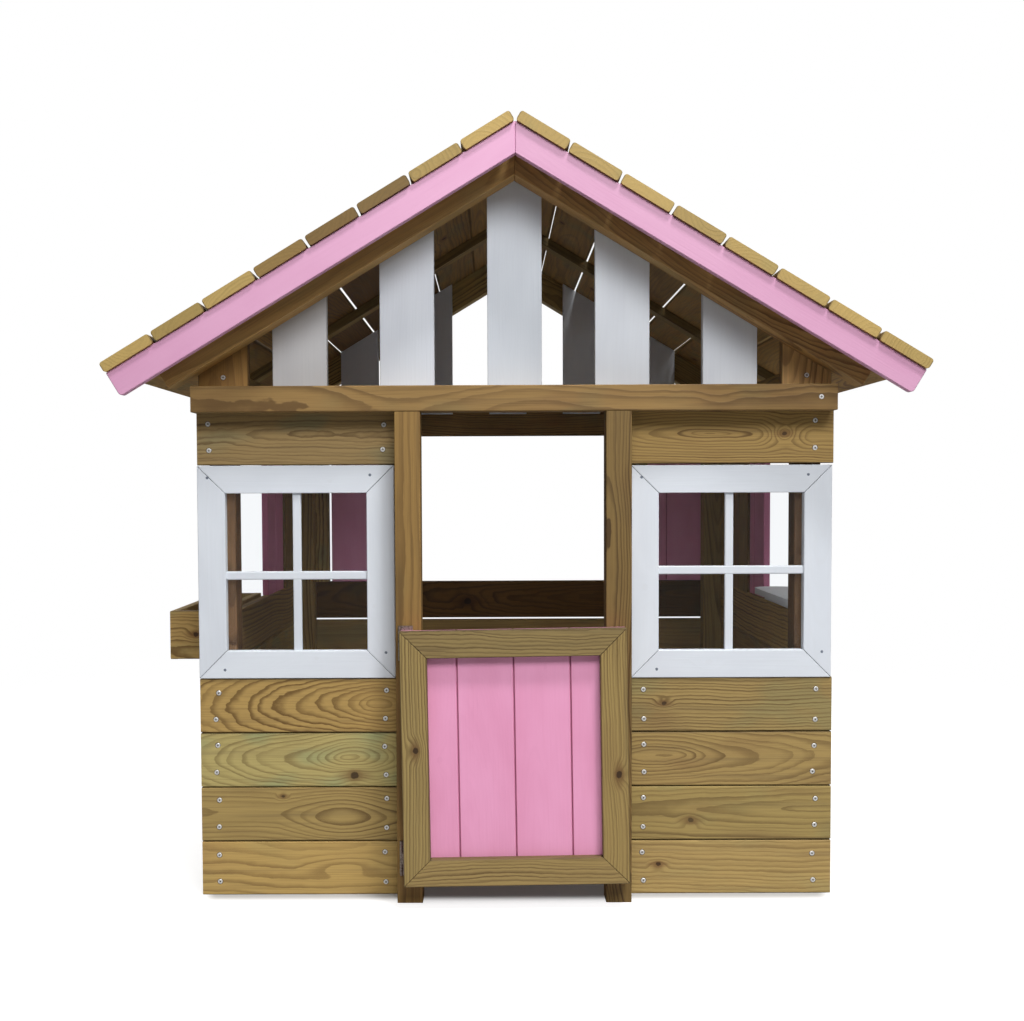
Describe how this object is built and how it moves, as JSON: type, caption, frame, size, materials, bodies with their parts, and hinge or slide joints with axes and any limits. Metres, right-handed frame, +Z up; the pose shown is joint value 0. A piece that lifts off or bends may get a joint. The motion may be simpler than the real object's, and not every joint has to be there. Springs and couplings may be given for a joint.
{
  "type": "playhouse",
  "caption": "Timber children's playhouse with a pitched slatted roof, glazed front windows, open side and back windows with shutters, planter, serving shelf and a hinged half door.",
  "frame": {"origin": "ground level, under the middle of the roof", "axes": "+Z up, the front wall with the door faces -Y, +X to the right seen from the front, roof ridge along Y"},
  "size_m": [1.375, 1.24, 1.3376],
  "materials": {
    "timber": "pressure-treated pine, planed, greenish brown",
    "white_paint": "brushed white paint on pine",
    "pink_paint": "brushed pink paint on pine",
    "clear_sheet": "clear sheet",
    "zinc_steel": "bright zinc plate"
  },
  "bodies": {
    "house": {"back_gable_slats": "white_paint", "back_left_fascia": "pink_paint", "back_left_rafter": "timber", "back_left_shutter": "pink_paint", "back_lower_boards": "timber", "back_right_fascia": "pink_paint", "back_right_rafter": "timber", "back_right_shutter": "pink_paint", "back_window_surround": "timber", "front_beam": "timber", "front_gable_slats": "white_paint", "front_left_fascia": "pink_paint", "front_left_lower_boards": "timber", "front_left_rafter": "timber", "front_left_top_board": "timber", "front_right_fascia": "pink_paint", "front_right_lower_boards": "timber", "front_right_rafter": "timber", "front_right_top_board": "timber", "left_door_post": "timber", "left_door_stud": "timber", "left_gable_corner_board": "timber", "left_roof_batten": "timber", "left_shutter": "pink_paint", "left_wall_panel": "timber", "left_window_frame": "white_paint", "left_window_pane": "clear_sheet", "lower_hinge_post_leaf": "zinc_steel", "planter_box": "timber", "right_door_post": "timber", "right_door_stud": "timber", "right_gable_corner_board": "timber", "right_roof_batten": "timber", "right_shutter": "pink_paint", "right_wall_panel": "timber", "right_window_frame": "white_paint", "right_window_pane": "clear_sheet", "roof_board_left_1": "timber", "roof_board_left_2": "timber", "roof_board_left_3": "timber", "roof_board_left_4": "timber", "roof_board_left_5": "timber", "roof_board_left_6": "timber", "roof_board_left_7": "timber", "roof_board_left_8": "timber", "roof_board_right_1": "timber", "roof_board_right_2": "timber", "roof_board_right_3": "timber", "roof_board_right_4": "timber", "roof_board_right_5": "timber", "roof_board_right_6": "timber", "roof_board_right_7": "timber", "roof_board_right_8": "timber", "serving_shelf": "white_paint", "upper_hinge_post_leaf": "zinc_steel"},
    "door": {"door_boards": "pink_paint", "door_frame": "timber", "lower_hinge_door_leaf": "zinc_steel", "upper_hinge_door_leaf": "zinc_steel"}
  },
  "joints": [
    {"name": "door_swing", "type": "hinge", "parent": "house", "child": "door", "pos_m": [-0.2005, -0.5491, 0.2628], "axis": [0, 0, -1], "range_deg": [0, 120]}
  ]
}
